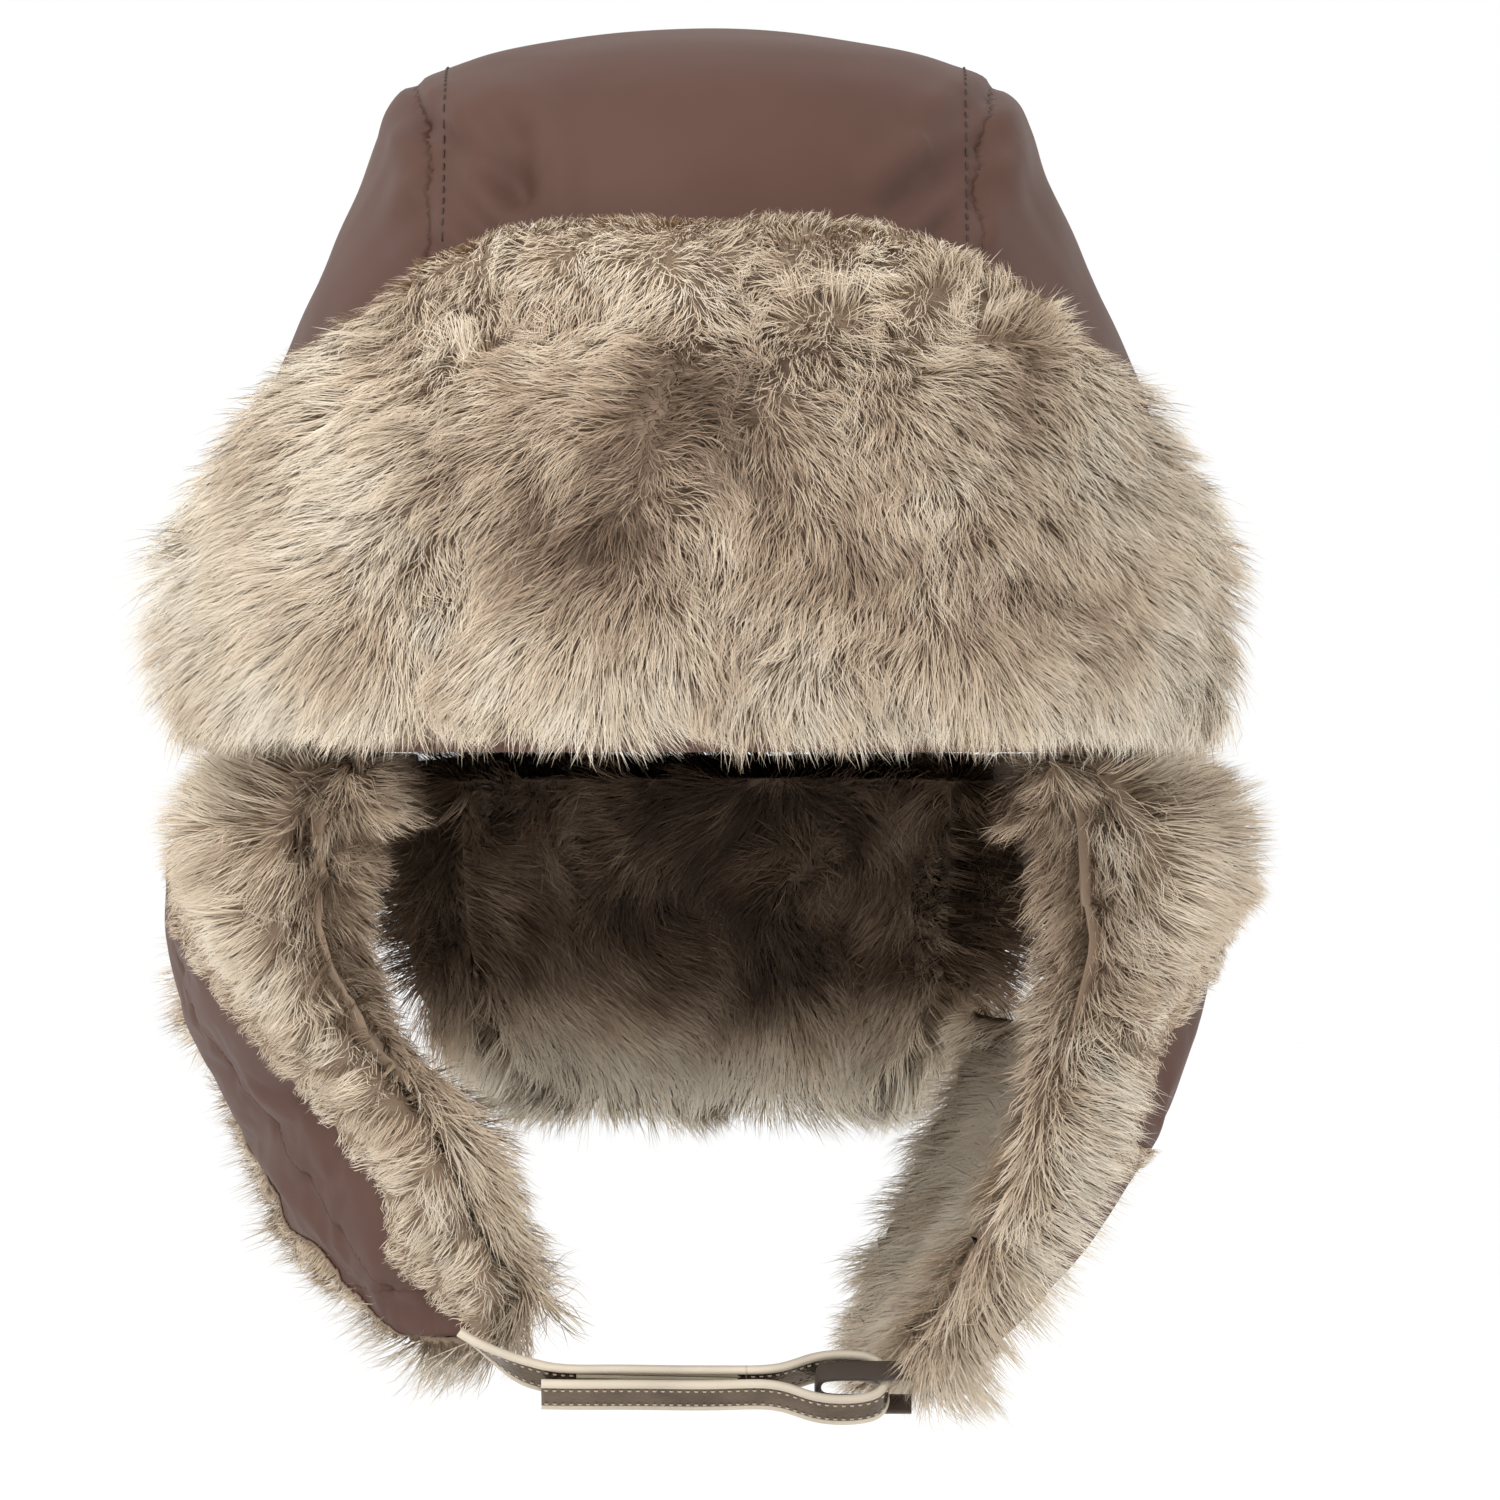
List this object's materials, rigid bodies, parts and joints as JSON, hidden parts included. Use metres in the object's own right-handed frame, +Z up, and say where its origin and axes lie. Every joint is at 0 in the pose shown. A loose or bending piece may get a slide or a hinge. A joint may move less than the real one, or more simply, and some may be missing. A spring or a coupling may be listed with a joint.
{
  "type": "trapper hat",
  "caption": "Padded trapper hat with a turned-up fur front flap, fur-lined ear and neck flaps and a strap that closes under the chin.",
  "frame": {"origin": "centre of the head opening, at the brim where the crown meets the flaps", "axes": "+Z up, the wearer looks along -Y, the wearer's right is -X"},
  "size_m": [0.2054, 0.2159, 0.2597],
  "materials": {
    "nylon": "soft satin woven nylon, brown",
    "fur": "long faux fur, cream to grey brown",
    "lining": "smooth taupe lining cloth",
    "wadding": "bulky polyester wadding",
    "strap_leather": "metallic champagne faux leather",
    "strap_binding": "ivory faux leather piping",
    "hook_and_loop": "beige hook-and-loop tape",
    "webbing": "dark brown satin webbing",
    "label": "blank woven satin label"
  },
  "bodies": {
    "crown": {"care_label": "label", "crown_center_panel": "nylon", "crown_lining": "lining", "crown_side_panel_left": "nylon", "crown_side_panel_right": "nylon", "crown_wadding": "wadding", "head_band": "lining"},
    "front_flap": {"front_flap_fur": "fur", "front_flap_shell": "nylon", "front_flap_wadding": "wadding"},
    "back_flap": {"back_flap_fur": "fur", "back_flap_shell": "nylon", "back_flap_wadding": "wadding"},
    "ear_flap_right": {"ear_flap_right_front_panel": "nylon", "ear_flap_right_fur": "fur", "ear_flap_right_lining": "lining", "ear_flap_right_rear_panel": "nylon", "ear_flap_right_tip": "nylon", "ear_flap_right_wadding": "wadding"},
    "ear_flap_left": {"ear_flap_left_front_panel": "nylon", "ear_flap_left_fur": "fur", "ear_flap_left_lining": "lining", "ear_flap_left_rear_panel": "nylon", "ear_flap_left_tip": "nylon", "ear_flap_left_wadding": "wadding"},
    "chin_strap": {"chin_strap": "strap_leather", "chin_strap_binding": "strap_binding", "loop_tape": "hook_and_loop"},
    "strap_loop": {"strap_loop": "webbing"},
    "strap_tail": {"strap_tail": "strap_leather", "strap_tail_binding": "strap_binding", "hook_tape": "hook_and_loop"}
  },
  "joints": [
    {"name": "front_flap_fold", "type": "hinge", "parent": "crown", "child": "front_flap", "pos_m": [0, -0.098, 0], "axis": [1, 0, 0], "range_deg": [0, 115]},
    {"name": "back_flap_fold", "type": "hinge", "parent": "crown", "child": "back_flap", "pos_m": [0, 0.0975, 0], "axis": [1, 0, 0], "range_deg": [0, 110]},
    {"name": "ear_flap_right_fold", "type": "hinge", "parent": "crown", "child": "ear_flap_right", "pos_m": [-0.0915, 0, 0], "axis": [0, 1, 0], "range_deg": [0, 125]},
    {"name": "ear_flap_left_fold", "type": "hinge", "parent": "crown", "child": "ear_flap_left", "pos_m": [0.0915, 0, 0], "axis": [0, -1, 0], "range_deg": [0, 125]},
    {"name": "chin_strap_swing", "type": "hinge", "parent": "ear_flap_right", "child": "chin_strap", "pos_m": [-0.046, -0.033, -0.1085], "axis": [0, -1, 0], "range_deg": [0, 40]},
    {"name": "strap_loop_swing", "type": "hinge", "parent": "ear_flap_left", "child": "strap_loop", "pos_m": [0.037, -0.033, -0.119], "axis": [0, 0.8191, -0.5736], "range_deg": [-12, 0]},
    {"name": "strap_tail_peel", "type": "hinge", "parent": "strap_loop", "child": "strap_tail", "pos_m": [0.0212, -0.033, -0.1186], "axis": [0, 0.8191, -0.5736], "range_deg": [-60, 0]}
  ]
}
